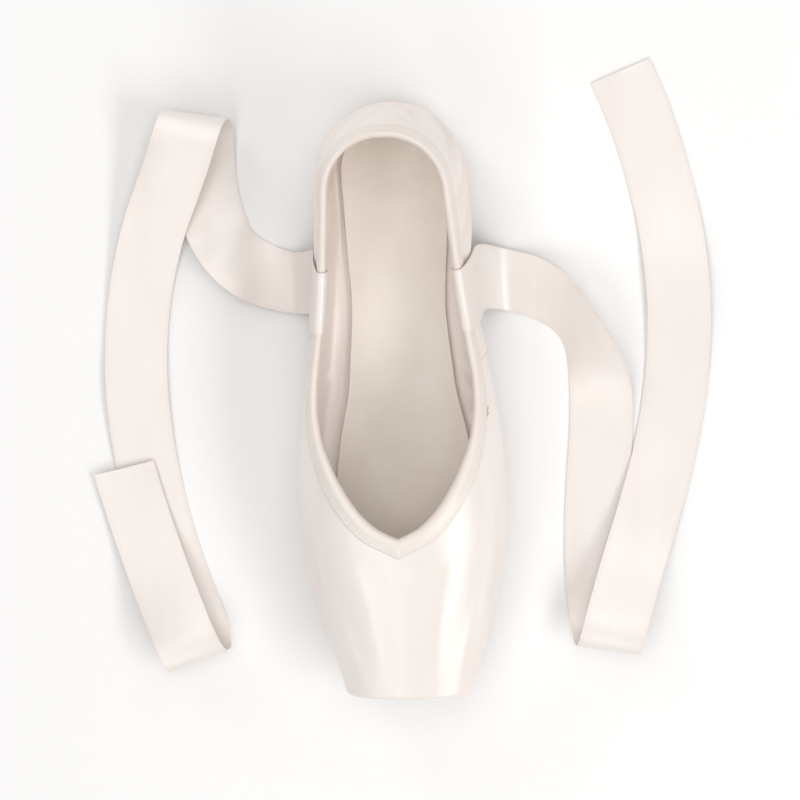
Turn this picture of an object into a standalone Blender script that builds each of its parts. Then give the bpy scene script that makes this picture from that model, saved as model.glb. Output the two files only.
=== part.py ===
"""A ballet pointe shoe, empty and standing on its sole, with its two ribbons lying on the floor.

Metres, +Z up. The toe points to -Y, the shoe is symmetric about X = 0, and the origin is on the floor under the
middle of its length. Everything hangs on one last: last_point() gives a point of its surface, and every piece is
that surface moved in or out by named amounts.
"""

import math

import bmesh
import bpy
import numpy as np
from mathutils import Vector

# Driving sizes of the shoe
SHOE_LENGTH = 0.236
BALL_WIDTH = 0.082
WAIST_WIDTH = 0.061
HEEL_WIDTH = 0.058
PLATFORM_WIDTH = 0.051
PLATFORM_HEIGHT = 0.028
PLATFORM_EDGE_RADIUS = 0.0022
THROAT_CROWN = 0.0545
HEEL_CROWN = 0.072
WIDEST_HEIGHT = 0.0225
VAMP_LENGTH = 0.067
TOE_LIFT = 0.005
ARCH_RISE = 0.0035

# Thicknesses, clearances and margins
BOX_WALL = 0.0024
QUARTER_WALL = 0.0014
OUTSOLE_THICKNESS = 0.0026
OUTSOLE_TOE_SETBACK = 0.0185
OUTSOLE_FOREFOOT_INSET = 0.0025
OUTSOLE_HEEL_INSET = 0.0045
INSOLE_THICKNESS = 0.0016
INSOLE_INSET = 0.0005
INSOLE_TOE_SETBACK = 0.0075
LASTING_MARGIN = 0.0115
BINDING_WIDTH = 0.0048
BINDING_THICKNESS = 0.0006
RIBBON_WIDTH = 0.025
RIBBON_THICKNESS = 0.0005
RIBBON_PLACE = 0.162
RIBBON_SEWN_LENGTH = 0.02
RIBBON_OUTSIDE_LENGTH = 0.019
GAP = 0.00035
BINDING_GAP = 0.0005
RIBBON_CLEARANCE = 0.0006

# Raised side seam, where the quarter is sewn over the vamp
SEAM_PLACE = 0.141
SEAM_SLANT = 0.01
SEAM_FADE = 0.035
SEAM_WIDTH = 0.0024
SEAM_HEIGHT = 0.0005
SEAM_EDGE = 0.0008

# Length over which the round ends of outsole, insole and opening narrow
ROUND_END_LENGTH = 0.028

# Shares of the body's length where the sole and the wall change
SPRING_END = 0.19
ARCH_START = 0.5
ARCH_END = 0.93
INSET_CHANGE_START = 0.36
INSET_CHANGE_END = 0.62
WALL_CHANGE_START = 0.29
WALL_CHANGE_END = 0.56
TOE_SHIFT_END = 0.12

# Shape of the sections
ROUND_FULLNESS = 0.08
SIDE_START_ANGLE = -62.0

# Mesh density
FLAT_COLUMNS = 2
TURN_COLUMNS = 2
SIDE_COLUMNS = 11
SEAM_COLUMNS = 8
STATION_STEP = 0.0078
HEEL_STEPS = 6
SOLE_COLUMNS = 4
RIBBON_COLUMNS = 3
DENSE = 60

# The heel is round in plan: its centre is a heel radius in from the back.
HEEL_RADIUS = HEEL_WIDTH / 2
BODY_LENGTH = SHOE_LENGTH - HEEL_RADIUS
RUN_END = BODY_LENGTH + HEEL_RADIUS * math.pi / 2
SOLE_TOP = OUTSOLE_THICKNESS + GAP
PLATFORM_BOTTOM = SOLE_TOP + TOE_LIFT
PLATFORM_TOP = PLATFORM_BOTTOM + PLATFORM_HEIGHT
PLATFORM_MIDDLE = (PLATFORM_BOTTOM + PLATFORM_TOP) / 2


def mix(first, second, share):
    return first + (second - first) * share


# Sections of the last: share of the body's length, whole width, height of the widest point, height of the crown
# over the middle, and the flat under it as a share of the width.
SECTIONS = (
    (0.000, PLATFORM_WIDTH, PLATFORM_MIDDLE, PLATFORM_TOP, 0.58),
    (0.089, mix(PLATFORM_WIDTH, BALL_WIDTH, 0.31), WIDEST_HEIGHT * 0.96, mix(PLATFORM_TOP, THROAT_CROWN, 0.27), 0.72),
    (0.179, mix(PLATFORM_WIDTH, BALL_WIDTH, 0.62), WIDEST_HEIGHT * 0.97, mix(PLATFORM_TOP, THROAT_CROWN, 0.53), 0.74),
    (0.268, mix(PLATFORM_WIDTH, BALL_WIDTH, 0.885), WIDEST_HEIGHT, mix(PLATFORM_TOP, THROAT_CROWN, 0.78), 0.715),
    (0.357, BALL_WIDTH, WIDEST_HEIGHT * 1.02, THROAT_CROWN, 0.70),
    (0.478, BALL_WIDTH * 0.98, WIDEST_HEIGHT * 1.01, mix(THROAT_CROWN, HEEL_CROWN, 0.10), 0.64),
    (0.594, mix(BALL_WIDTH, WAIST_WIDTH, 0.38), WIDEST_HEIGHT, mix(THROAT_CROWN, HEEL_CROWN, 0.22), 0.57),
    (0.729, mix(BALL_WIDTH, WAIST_WIDTH, 0.82), WIDEST_HEIGHT * 0.96, mix(THROAT_CROWN, HEEL_CROWN, 0.45), 0.58),
    (0.865, mix(WAIST_WIDTH, HEEL_WIDTH, 0.40), WIDEST_HEIGHT * 0.92, mix(THROAT_CROWN, HEEL_CROWN, 0.74), 0.67),
    (1.000, HEEL_WIDTH, WIDEST_HEIGHT * 0.90, HEEL_CROWN, 0.73),
)

# The collar: share of the way from the point of the V round to the back of the heel, and the angle on the section.
COLLAR = (
    (0.000, 90.0),
    (0.026, 77.4),
    (0.060, 68.0),
    (0.113, 57.2),
    (0.178, 46.3),
    (0.243, 36.2),
    (0.307, 29.3),
    (0.377, 26.5),
    (0.453, 27.0),
    (0.604, 30.3),
    (0.755, 36.0),
    (1.000, 41.0),
)

# Each ribbon's way from the quarter down to the floor and along it: centre x and y and the height of its lower
# edge in millimetres, then the direction across the ribbon in plan and its tilt off level, in degrees.
RIGHT_ROUTE = (
    (34.6, 44.0, 15.5, 90, 0),
    (35.8, 44.0, 9.3, 90, 0),
    (39.4, 43.8, 3.7, 90, 1),
    (45.2, 43.0, 0.5, 89, 2),
    (52.5, 41.0, 0.1, 80, 7),
    (60.0, 37.2, 0.0, 64, 20),
    (67.0, 31.0, 0.0, 47, 34),
    (72.6, 22.6, 0.0, 29, 38),
    (76.4, 12.6, 0.0, 14, 28),
    (78.2, 1.4, 0.1, 4, 13),
    (78.4, -11.0, 0.2, -2, 3),
    (77.4, -25.0, 0.2, -5, 0),
    (75.8, -42.0, 0.2, -5, 0),
    (74.6, -60.0, 0.2, -2, 0),
    (74.6, -76.0, 0.6, 1, 0),
    (75.4, -90.0, 1.8, 0, 0),
    (76.6, -100.5, 5.0, -5, 0),
    (77.9, -105.2, 10.0, -9, 0),
    (79.6, -103.0, 14.8, -11, 0),
    (82.0, -94.8, 15.8, -13, 0),
    (85.2, -84.4, 11.8, -15, 0),
    (88.6, -73.6, 7.0, -17, 0),
    (92.4, -62.2, 3.3, -18, -2),
    (97.0, -48.0, 1.2, -18, -3),
    (102.0, -31.0, 0.3, -16, -1),
    (106.2, -12.0, 0.2, -12, 0),
    (109.0, 8.0, 0.6, -7, 0),
    (110.2, 28.0, 1.8, -1, 0),
    (109.6, 46.0, 2.0, 4, 0),
    (107.4, 64.0, 0.8, 9, 0),
    (104.0, 81.0, 0.2, 13, 0),
    (99.6, 98.0, 0.2, 16, 0),
    (95.0, 112.0, 0.2, 19, 0),
    (89.6, 125.4, 0.2, 22, 0),
)
LEFT_ROUTE = (
    (-34.6, 44.0, 15.5, -90, 0),
    (-35.8, 44.0, 9.3, -90, 0),
    (-39.4, 44.2, 3.7, -90, 1),
    (-45.2, 45.2, 0.5, -91, 2),
    (-52.5, 47.6, 0.1, -102, 7),
    (-60.0, 52.0, 0.0, -119, 18),
    (-66.6, 58.8, 0.0, -137, 25),
    (-71.6, 67.6, 0.0, -155, 13),
    (-74.6, 78.0, 0.1, -169, 3),
    (-75.8, 89.0, 0.2, -176, 0),
    (-75.8, 99.0, 1.2, -180, 0),
    (-75.6, 108.6, 4.2, -184, 0),
    (-76.4, 113.8, 9.2, -189, 0),
    (-78.4, 112.6, 14.2, -194, 0),
    (-81.4, 104.8, 15.8, -198, 0),
    (-85.4, 94.4, 12.4, -201, 0),
    (-90.0, 83.6, 9.2, -203, 0),
    (-94.8, 72.2, 6.2, -202, 0),
    (-99.6, 58.4, 3.2, -199, 0),
    (-103.6, 42.0, 1.3, -193, 0),
    (-106.2, 23.4, 0.9, -187, 0),
    (-107.0, 3.4, 1.7, -180, 0),
    (-105.8, -17.0, 1.2, -175, 0),
    (-103.0, -38.0, 0.3, -171, 0),
    (-98.8, -58.0, 0.2, -166, 0),
    (-93.4, -77.0, 0.2, -163, 0),
    (-88.4, -92.0, 1.0, -161, 0),
    (-85.6, -101.4, 3.8, -161, 0),
    (-84.8, -106.4, 8.6, -160, 0),
    (-86.6, -106.2, 13.2, -159, 0),
    (-90.2, -98.8, 14.6, -158, 0),
    (-94.8, -88.0, 11.0, -157, 0),
    (-99.8, -76.0, 6.4, -158, 0),
    (-104.8, -62.0, 2.9, -161, 0),
    (-109.6, -46.0, 1.6, -164, 0),
    (-113.8, -29.0, 2.1, -167, 0),
)
MILLIMETRE = 0.001

# Linear base colour, roughness and metallic value of each piece
FINISHES = {
    "satin": ((0.86, 0.74, 0.68), 0.34, 0.0),
    "leather": ((0.60, 0.37, 0.22), 0.75, 0.0),
    "lining": ((0.74, 0.63, 0.52), 0.85, 0.0),
}


class Curve:
    """A smooth curve through a few rows that never overshoots between them."""

    def __init__(self, places, values):
        self.places = np.array(places, float)
        self.values = np.array(values, float)
        step = np.diff(self.places)
        rise = np.diff(self.values) / step
        self.slopes = np.concatenate([rise[:1], np.zeros(len(rise) - 1), rise[-1:]])
        for i in range(1, len(rise)):
            if rise[i - 1] * rise[i] > 0:
                before, after = step[i - 1], step[i]
                near, far = 2 * after + before, after + 2 * before
                self.slopes[i] = (near + far) / (near / rise[i - 1] + far / rise[i])

    def __call__(self, place):
        place = min(max(place, self.places[0]), self.places[-1])
        i = min(int(np.searchsorted(self.places, place, side="right")) - 1, len(self.places) - 2)
        step = self.places[i + 1] - self.places[i]
        t = (place - self.places[i]) / step
        return float(
            self.values[i] * (1 + 2 * t) * (1 - t) ** 2
            + self.slopes[i] * step * t * (1 - t) ** 2
            + self.values[i + 1] * t * t * (3 - 2 * t)
            - self.slopes[i + 1] * step * t * t * (1 - t)
        )


def columns_of(rows):
    places = [row[0] for row in rows]
    return [Curve(places, [row[i] for row in rows]) for i in range(1, len(rows[0]))]


WIDTH_AT, WIDEST_AT, CROWN_AT, FLAT_AT = columns_of(SECTIONS)
(COLLAR_ANGLE_AT,) = columns_of(COLLAR)


def ease(share):
    share = min(max(share, 0.0), 1.0)
    return share * share * (3 - 2 * share)


def sole_rise(station):
    """How far the sole's underside is off the floor: toe spring, flat forefoot, arch, flat heel."""
    share = station / BODY_LENGTH
    if share < SPRING_END:
        return TOE_LIFT * ((SPRING_END - share) / SPRING_END) ** 2
    if ARCH_START < share < ARCH_END:
        return ARCH_RISE * math.sin(math.pi * (share - ARCH_START) / (ARCH_END - ARCH_START)) ** 2
    return 0.0


def wall_at(run):
    """Thickness of the upper: stiff box at the toe, soft quarter behind."""
    share = run / BODY_LENGTH
    return mix(BOX_WALL, QUARTER_WALL, ease((share - WALL_CHANGE_START) / (WALL_CHANGE_END - WALL_CHANGE_START)))


def flat_half_width(station):
    share = station / BODY_LENGTH
    return FLAT_AT(share) * WIDTH_AT(share) / 2


def section_point(station, angle, inset):
    """(distance from the middle, height) on a section. Angle -180 is under the middle, -90 the edge of the flat,
    0 the widest point and 90 the crown."""
    share = station / BODY_LENGTH
    half = WIDTH_AT(share) / 2 - inset
    widest = WIDEST_AT(share)
    bottom = sole_rise(station) + SOLE_TOP + inset
    flat = flat_half_width(station)
    if angle <= -90:
        return flat * (1 - (-90 - angle) / 90), bottom
    cosine, sine = math.cos(math.radians(angle)), math.sin(math.radians(abs(angle)))
    out = cosine * (1 + ROUND_FULLNESS * sine**2)
    lift = sine * (1 + ROUND_FULLNESS * cosine**2)
    if angle < 0:
        return mix(flat, half, out), widest - (widest - bottom) * lift
    return half * out, widest + (CROWN_AT(share) - inset - widest) * lift


def last_point(run, angle, inset=0.0):
    """A point of the last, moved inwards by inset. Run goes along the shoe and then round the heel."""
    station = min(run, BODY_LENGTH)
    turn = max(0.0, run - BODY_LENGTH) / HEEL_RADIUS
    out, height = section_point(station, angle, inset)
    return Vector((out * math.cos(turn), station - SHOE_LENGTH / 2 + out * math.sin(turn), height))


def collar_angle(run):
    return COLLAR_ANGLE_AT((run - VAMP_LENGTH) / (RUN_END - VAMP_LENGTH))


def round_end(distance):
    """1 along the middle of a sole's outline, falling to 0 at its round end."""
    share = min(max(distance / ROUND_END_LENGTH, 0.0), 1.0)
    return math.sqrt(1 - (1 - share) ** 2)


def outline_half_width(station, inset, toe_end):
    """Half width of a sole-like outline that keeps inside the last's flat."""
    return (flat_half_width(station) - inset) * round_end(station - toe_end)


OPENING_TOE_END = OUTSOLE_TOE_SETBACK + LASTING_MARGIN


def lower_angle(run):
    """Where a section of the upper starts: under the middle of the toe, then at the edge of the open bottom."""
    station = min(run, BODY_LENGTH)
    opening = outline_half_width(station, LASTING_MARGIN, OPENING_TOE_END)
    return -90 - 90 * (1 - opening / flat_half_width(station))


def upper_angle(run):
    return collar_angle(run) if run > VAMP_LENGTH else 90.0


def seam_shift(run):
    """Half of how far the side seam leans, faded out to both sides of it."""
    away = min(abs(run - SEAM_PLACE) / SEAM_FADE, 1.0)
    return SEAM_SLANT / 2 * math.cos(math.pi / 2 * away) ** 2


def seam_lift(run, column):
    """Height of the raised seam. It lies flat under the sole and the binding."""
    across = (SEAM_WIDTH / 2 + SEAM_EDGE - abs(run - SEAM_PLACE)) / SEAM_EDGE
    first = FLAT_COLUMNS + TURN_COLUMNS
    if not first <= column <= first + SEAM_COLUMNS:
        return 0.0
    return SEAM_HEIGHT * min(max(across, 0.0), 1.0)


def edge_inset(run):
    """The rounding of the platform's edge."""
    if run >= PLATFORM_EDGE_RADIUS:
        return 0.0
    return PLATFORM_EDGE_RADIUS - math.sqrt(PLATFORM_EDGE_RADIUS**2 - (PLATFORM_EDGE_RADIUS - run) ** 2)


def outer_point(run, angle, lift=0.0):
    return last_point(run, angle, edge_inset(run) - lift)


def inner_point(run, angle):
    shifted = run + BOX_WALL * max(0.0, 1 - run / (TOE_SHIFT_END * BODY_LENGTH))
    return last_point(shifted, angle, wall_at(run) + edge_inset(run))


def evenly(points, count):
    """Indices as real numbers, into a line of points, that cut it into equal lengths."""
    steps = [(b - a).length for a, b in zip(points, points[1:])]
    along = np.concatenate([[0.0], np.cumsum(steps)])
    return np.interp(np.linspace(0, along[-1], count + 1), along, range(len(points)))


def spread(low, high, count):
    """(run, angle) places between two of them, evenly spaced on the last."""
    dense = [[mix(low[k], high[k], i / DENSE) for k in (0, 1)] for i in range(DENSE + 1)]
    places = evenly([outer_point(*place) for place in dense], count)
    return [
        tuple(mix(dense[int(p)][k], dense[min(int(p) + 1, DENSE)][k], p - int(p)) for k in (0, 1)) for p in places
    ]


def section_row(run):
    """(run, angle) places up one section of the upper, under the shoe and then up its side."""
    low, high = run + seam_shift(run), run - seam_shift(run)
    edge, start = (low, -90.0), (low, SIDE_START_ANGLE)
    flat = spread((low, lower_angle(low)), edge, FLAT_COLUMNS)
    turn = spread(edge, start, TURN_COLUMNS)
    return flat[:-1] + turn[:-1] + spread(start, (high, upper_angle(high)), SIDE_COLUMNS)


def stations():
    """Runs of the upper's sections, with the places where its outline changes among them."""
    radius = PLATFORM_EDGE_RADIUS
    seam = SEAM_WIDTH / 2
    keys = [radius * (1 - math.cos(math.radians(a))) for a in (0, 30, 60, 90)]
    keys += [OPENING_TOE_END + ROUND_END_LENGTH * share for share in (0, 0.036, 0.125, 0.286)]
    keys += [VAMP_LENGTH * share for share in (1, 1.018, 1.052, 1.112, 1.187, 1.269, 1.366, 1.485, 1.612)]
    keys += [SEAM_PLACE + d for d in (-seam - SEAM_EDGE, -seam, seam, seam + SEAM_EDGE)]
    keys += [BODY_LENGTH + (RUN_END - BODY_LENGTH) * i / HEEL_STEPS for i in range(HEEL_STEPS + 1)]
    keys.sort()
    runs = [keys[0]]
    for key in keys[1:]:
        parts = max(1, math.ceil((key - runs[-1]) / STATION_STEP))
        runs += [mix(runs[-1], key, (i + 1) / parts) for i in range(parts)]
    return runs


def new_object(name, bm, finish, collection):
    mesh = bpy.data.meshes.new(name)
    bm.to_mesh(mesh)
    bm.free()
    mesh.shade_smooth()
    mesh.set_sharp_from_angle(angle=math.radians(40))
    mesh.materials.append(material(finish))
    obj = bpy.data.objects.new(name, mesh)
    collection.objects.link(obj)
    return obj


def material(finish):
    found = bpy.data.materials.get(finish)
    if found:
        return found
    colour, roughness, metallic = FINISHES[finish]
    made = bpy.data.materials.new(finish)
    made.use_nodes = True
    shader = made.node_tree.nodes["Principled BSDF"]
    shader.inputs["Base Color"].default_value = (*colour, 1)
    shader.inputs["Roughness"].default_value = roughness
    shader.inputs["Metallic"].default_value = metallic
    return made


def add_grid(bm, rows, turned=False):
    """Faces between rows of vertices. Their normals point along (next row) x (next column), or the other way."""
    for row, after in zip(rows, rows[1:]):
        for i in range(len(row) - 1):
            corners = (row[i], after[i], after[i + 1], row[i + 1])
            bm.faces.new(corners[::-1] if turned else corners)


def add_pole(bm, centre, row, turned=False):
    for a, b in zip(row, row[1:]):
        bm.faces.new((b, a, centre) if turned else (centre, a, b))


def mirror(obj):
    modifier = obj.modifiers.new("Mirror", "MIRROR")
    modifier.merge_threshold = 0.00001
    return modifier


def solidify(obj, thickness, offset):
    modifier = obj.modifiers.new("Solidify", "SOLIDIFY")
    modifier.thickness = thickness
    modifier.offset = offset
    modifier.use_even_offset = True
    return modifier


def platform_rings(rim, shares=(0.5,)):
    """The platform's middle, and rings between it and the rim."""
    low, high = rim[0], rim[-1]
    centre = Vector((0, rim[0].y, (low.z + high.z) / 2))
    return centre, [[centre.lerp(point, share) for point in rim] for share in shares]


def build_upper(collection):
    """One hollow wall: the last's surface outside, the same moved in by the wall inside, joined round its edges."""
    bm = bmesh.new()
    runs = stations()
    places = [section_row(run) for run in runs]
    outside = [
        [outer_point(*place, seam_lift(run, i)) for i, place in enumerate(row)]
        for run, row in zip(runs, places)
    ]
    inside = [[inner_point(*place) for place in row] for row in places]
    skins = []
    for rows, turned in ((outside, False), (inside, True)):
        centre, rings = platform_rings(rows[0])
        made = [[bm.verts.new(point) for point in row] for row in rings + rows]
        add_pole(bm, bm.verts.new(centre), made[0], turned)
        add_grid(bm, made, turned)
        skins.append(made[len(rings) :])
    outer, inner = skins
    for i, run in enumerate(runs[:-1]):
        if run >= VAMP_LENGTH:
            bm.faces.new((outer[i][-1], outer[i + 1][-1], inner[i + 1][-1], inner[i][-1]))
        if run >= OPENING_TOE_END:
            bm.faces.new((inner[i][0], inner[i + 1][0], outer[i + 1][0], outer[i][0]))
    mirror(new_object("upper", bm, "satin", collection))


def hem_frame(run):
    """At the collar's edge: the edge, its inner corner, and how run and angle change for a metre away from the
    opening along the surface. At the point of the V the way is mitred."""
    step = 0.0002
    angle = upper_angle(run)
    edge = last_point(run, angle)
    along_run = (last_point(run + step, angle) - last_point(run - step, angle)) / (2 * step)
    along_angle = (last_point(run, angle + 0.2) - last_point(run, angle - 0.2)) / 0.4
    ahead = min(run + step, RUN_END)
    behind = max(ahead - 2 * step, VAMP_LENGTH)
    tangent = (last_point(ahead, upper_angle(ahead)) - last_point(behind, upper_angle(behind))).normalized()
    normal = along_run.cross(along_angle).normalized()
    away = tangent.cross(normal).normalized()
    if run <= VAMP_LENGTH:
        away = -along_run.normalized() / math.hypot(tangent.x, 1e-9)
    a, b, c = along_run.length_squared, along_run.dot(along_angle), along_angle.length_squared
    p, q = along_run.dot(away), along_angle.dot(away)
    change = ((p * c - q * b) / (a * c - b * b), (q * a - p * b) / (a * c - b * b))
    return edge, last_point(run, angle, wall_at(run)), angle, change, away


def hem_line(run, outer_reach, inner_reach, offset, arc_steps=4):
    """A line that hugs the collar at a distance: up the outside, over the edge and down the inside."""
    edge, corner, angle, change, away = hem_frame(run)
    outward = (edge - corner).normalized()
    middle = (edge + corner) / 2
    radius = (edge - corner).length / 2 + offset

    def on_surface(distance, inset):
        return last_point(run + change[0] * distance, angle + change[1] * distance, inset)

    line = [on_surface(reach, -offset) for reach in outer_reach]
    for i in range(arc_steps + 1):
        turn = math.pi * i / arc_steps
        line.append(middle + radius * (outward * math.cos(turn) - away * math.sin(turn)))
    wall = wall_at(run)
    return line + [on_surface(reach, wall + offset) for reach in inner_reach]


def build_binding(collection):
    """Satin tape folded over the whole collar edge."""
    bm = bmesh.new()
    reaches = [BINDING_WIDTH * share for share in (1.0, 0.66, 0.33)]
    rows = []
    for run in [run for run in stations() if run >= VAMP_LENGTH]:
        line = hem_line(run, reaches, reaches[::2][::-1], BINDING_GAP)
        if run <= VAMP_LENGTH or run >= RUN_END:
            for point in line:
                point.x = 0.0
        rows.append([bm.verts.new(point) for point in line])
    add_grid(bm, rows)
    obj = new_object("binding", bm, "satin", collection)
    mirror(obj)
    solidify(obj, BINDING_THICKNESS, 1)


def sole_rows(inset_at, toe_end, height):
    """Rows across a sole-like plate that follows the last's flat, round at the toe and round the heel."""
    rows = []
    heel = flat_half_width(BODY_LENGTH) - inset_at(BODY_LENGTH)
    places = [toe_end + ROUND_END_LENGTH * share for share in (0.02, 0.07, 0.16, 0.3, 0.46, 0.65, 0.84)]
    places += [run for run in stations() if toe_end + ROUND_END_LENGTH < run < 0.995 * BODY_LENGTH]
    ends = [(place, outline_half_width(place, inset_at(place), toe_end)) for place in places]
    for degrees in (0, 15, 30, 45, 60, 72, 82):
        turn = math.radians(degrees)
        ends.append((BODY_LENGTH + heel * math.sin(turn), heel * math.cos(turn)))
    for station, half in ends:
        shares = [2 * i / SOLE_COLUMNS - 1 for i in range(SOLE_COLUMNS + 1)]
        y = station - SHOE_LENGTH / 2
        rows.append([Vector((half * share, y, height(min(station, BODY_LENGTH)))) for share in shares])
    return rows


def build_plate(name, rows, thickness, finish, collection):
    bm = bmesh.new()
    add_grid(bm, [[bm.verts.new(point) for point in row] for row in rows], turned=True)
    obj = new_object(name, bm, finish, collection)
    solidify(obj, thickness, 1)


def outsole_inset(station):
    """The outsole is narrower than the flat it lies on, most of all from the waist back."""
    share = (station / BODY_LENGTH - INSET_CHANGE_START) / (INSET_CHANGE_END - INSET_CHANGE_START)
    return mix(OUTSOLE_FOREFOOT_INSET, OUTSOLE_HEEL_INSET, ease(share))


def insole_inset(station):
    return INSOLE_INSET


def build_outsole(collection):
    rows = sole_rows(outsole_inset, OUTSOLE_TOE_SETBACK, sole_rise)
    build_plate("outsole", rows, OUTSOLE_THICKNESS, "leather", collection)


def insole_height(station):
    return sole_rise(station) + SOLE_TOP + wall_at(station) + GAP


def build_insole(collection):
    rows = sole_rows(insole_inset, INSOLE_TOE_SETBACK, insole_height)
    build_plate("insole", rows, INSOLE_THICKNESS, "lining", collection)


def ribbon_rows(route, side):
    """Rows across a ribbon: sewn to the lining, over the binding, down the quarter and along its route."""
    over_binding = BINDING_GAP + BINDING_THICKNESS + RIBBON_CLEARANCE + RIBBON_THICKNESS / 2
    outer_reach = [RIBBON_OUTSIDE_LENGTH * share for share in (1.0, 0.74, 0.47, 0.24)]
    inner_reach = [RIBBON_SEWN_LENGTH * share for share in (0.25, 0.5, 0.75, 1.0)]
    lines = []
    for i in range(RIBBON_COLUMNS + 1):
        run = RIBBON_PLACE + RIBBON_WIDTH * (i / RIBBON_COLUMNS - 0.5)
        lines.append(hem_line(run, outer_reach, inner_reach, over_binding, 6)[::-1])
    rows = [[Vector((side * p.x, p.y, p.z)) for p in row] for row in zip(*lines)]
    if side < 0:
        rows = [row[::-1] for row in rows]
    for x, y, low, heading, tilt in route:
        plan, lean = math.radians(heading), math.radians(tilt)
        across = Vector((math.cos(plan) * math.cos(lean), math.sin(plan) * math.cos(lean), math.sin(lean)))
        centre = Vector((x, y, low)) * MILLIMETRE
        centre.z += RIBBON_THICKNESS / 2 + RIBBON_WIDTH / 2 * abs(math.sin(lean))
        shares = [i / RIBBON_COLUMNS - 0.5 for i in range(RIBBON_COLUMNS + 1)]
        rows.append([centre + across * (RIBBON_WIDTH * share) for share in shares])
    return rows


def build_ribbon(name, route, side, collection):
    bm = bmesh.new()
    add_grid(bm, [[bm.verts.new(point) for point in row] for row in ribbon_rows(route, side)])
    obj = new_object(name, bm, "satin", collection)
    solidify(obj, RIBBON_THICKNESS, 0)


def main():
    for obj in list(bpy.data.objects):
        bpy.data.objects.remove(obj)
    shoe = bpy.data.collections.new("pointe_shoe")
    bpy.context.scene.collection.children.link(shoe)
    build_upper(shoe)
    build_outsole(shoe)
    build_insole(shoe)
    build_binding(shoe)
    build_ribbon("ribbon_right", RIGHT_ROUTE, 1, shoe)
    build_ribbon("ribbon_left", LEFT_ROUTE, -1, shoe)


main()
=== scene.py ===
"""Looks of the pointe shoe: pale satin upper, folded tape binding, leather sole, cotton lining and two ribbons.

The toe points to -Y and the shoe stands on Z = 0. Each piece is a grid laid over the shoe's last, in metres.
"""

import math

import bpy
import numpy as np
from mathutils import Matrix, Vector

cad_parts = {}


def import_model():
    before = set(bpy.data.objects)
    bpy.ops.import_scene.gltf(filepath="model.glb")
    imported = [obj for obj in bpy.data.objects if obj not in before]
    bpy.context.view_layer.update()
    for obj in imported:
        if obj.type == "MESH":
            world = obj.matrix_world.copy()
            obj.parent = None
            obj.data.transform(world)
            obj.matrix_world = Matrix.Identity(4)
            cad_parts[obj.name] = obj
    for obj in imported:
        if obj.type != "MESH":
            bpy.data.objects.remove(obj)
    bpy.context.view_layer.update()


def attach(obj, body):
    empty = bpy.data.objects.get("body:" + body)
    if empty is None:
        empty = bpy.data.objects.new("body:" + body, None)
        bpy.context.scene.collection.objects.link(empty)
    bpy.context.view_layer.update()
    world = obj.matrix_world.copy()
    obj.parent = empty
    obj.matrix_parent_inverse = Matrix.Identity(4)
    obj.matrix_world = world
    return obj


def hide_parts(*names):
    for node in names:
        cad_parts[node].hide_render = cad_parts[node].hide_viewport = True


MM = 0.001

# Sizes of the shoe, as in the part's source, but for the platform's edge, which is crisper here
SHOE_LENGTH = 0.236
BALL_WIDTH = 0.082
WAIST_WIDTH = 0.061
HEEL_WIDTH = 0.058
PLATFORM_WIDTH = 0.051
PLATFORM_HEIGHT = 0.028
PLATFORM_EDGE = 0.0012
THROAT_CROWN = 0.0545
HEEL_CROWN = 0.072
WIDEST_HEIGHT = 0.0225
VAMP_LENGTH = 0.067
TOE_LIFT = 0.005
ARCH_RISE = 0.0035
BOX_WALL = 0.0024
QUARTER_WALL = 0.0014
OUTSOLE_THICKNESS = 0.0026
OUTSOLE_SETBACK = 0.0185
OUTSOLE_FOREFOOT_INSET = 0.0025
OUTSOLE_HEEL_INSET = 0.0045
INSOLE_THICKNESS = 0.0016
LASTING_MARGIN = 0.0115
BINDING_WIDTH = 0.0048
RIBBON_WIDTH = 0.025
RIBBON_THICKNESS = 0.0004
RIBBON_PLACE = 0.162
RIBBON_OVER_TAPE = 0.0016
RIBBON_OFF_LINING = 0.0007
GAP = 0.00035
STITCH_INSET = 0.0036
SEAM_PLACE = 0.141
SEAM_SLANT = 0.01
SEAM_FADE = 0.035
ROUND_END_LENGTH = 0.028
ROUND_FULLNESS = 0.08
SIDE_START = -62.0

# Fine work that only this script has
SEAM_STEP = 0.00055
TAPE_THICKNESS = 0.00036
TAPE_GROOVE = 0.0003
CHANNEL_DEPTH = 0.00033
CHANNEL_WIDTH = 0.00042
SOCK_MARGIN = 0.0001
SOCK_TOE_END = 0.0075
SOCK_CUP = 0.0012
TAPE_PITCH = 0.0026
ZIGZAGS = 46
SEAM_STITCHES = 34
SOLE_STITCHES = 38
TOUCHING = 0.00001

HEEL_RADIUS = HEEL_WIDTH / 2
BODY_LENGTH = SHOE_LENGTH - HEEL_RADIUS
RUN_END = BODY_LENGTH + HEEL_RADIUS * math.pi / 2
SOLE_TOP = OUTSOLE_THICKNESS + GAP
PLATFORM_BOTTOM = SOLE_TOP + TOE_LIFT
PLATFORM_TOP = PLATFORM_BOTTOM + PLATFORM_HEIGHT
OPENING_TOE_END = OUTSOLE_SETBACK + LASTING_MARGIN


def mix(first, second, share):
    return first + (second - first) * share


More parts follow.
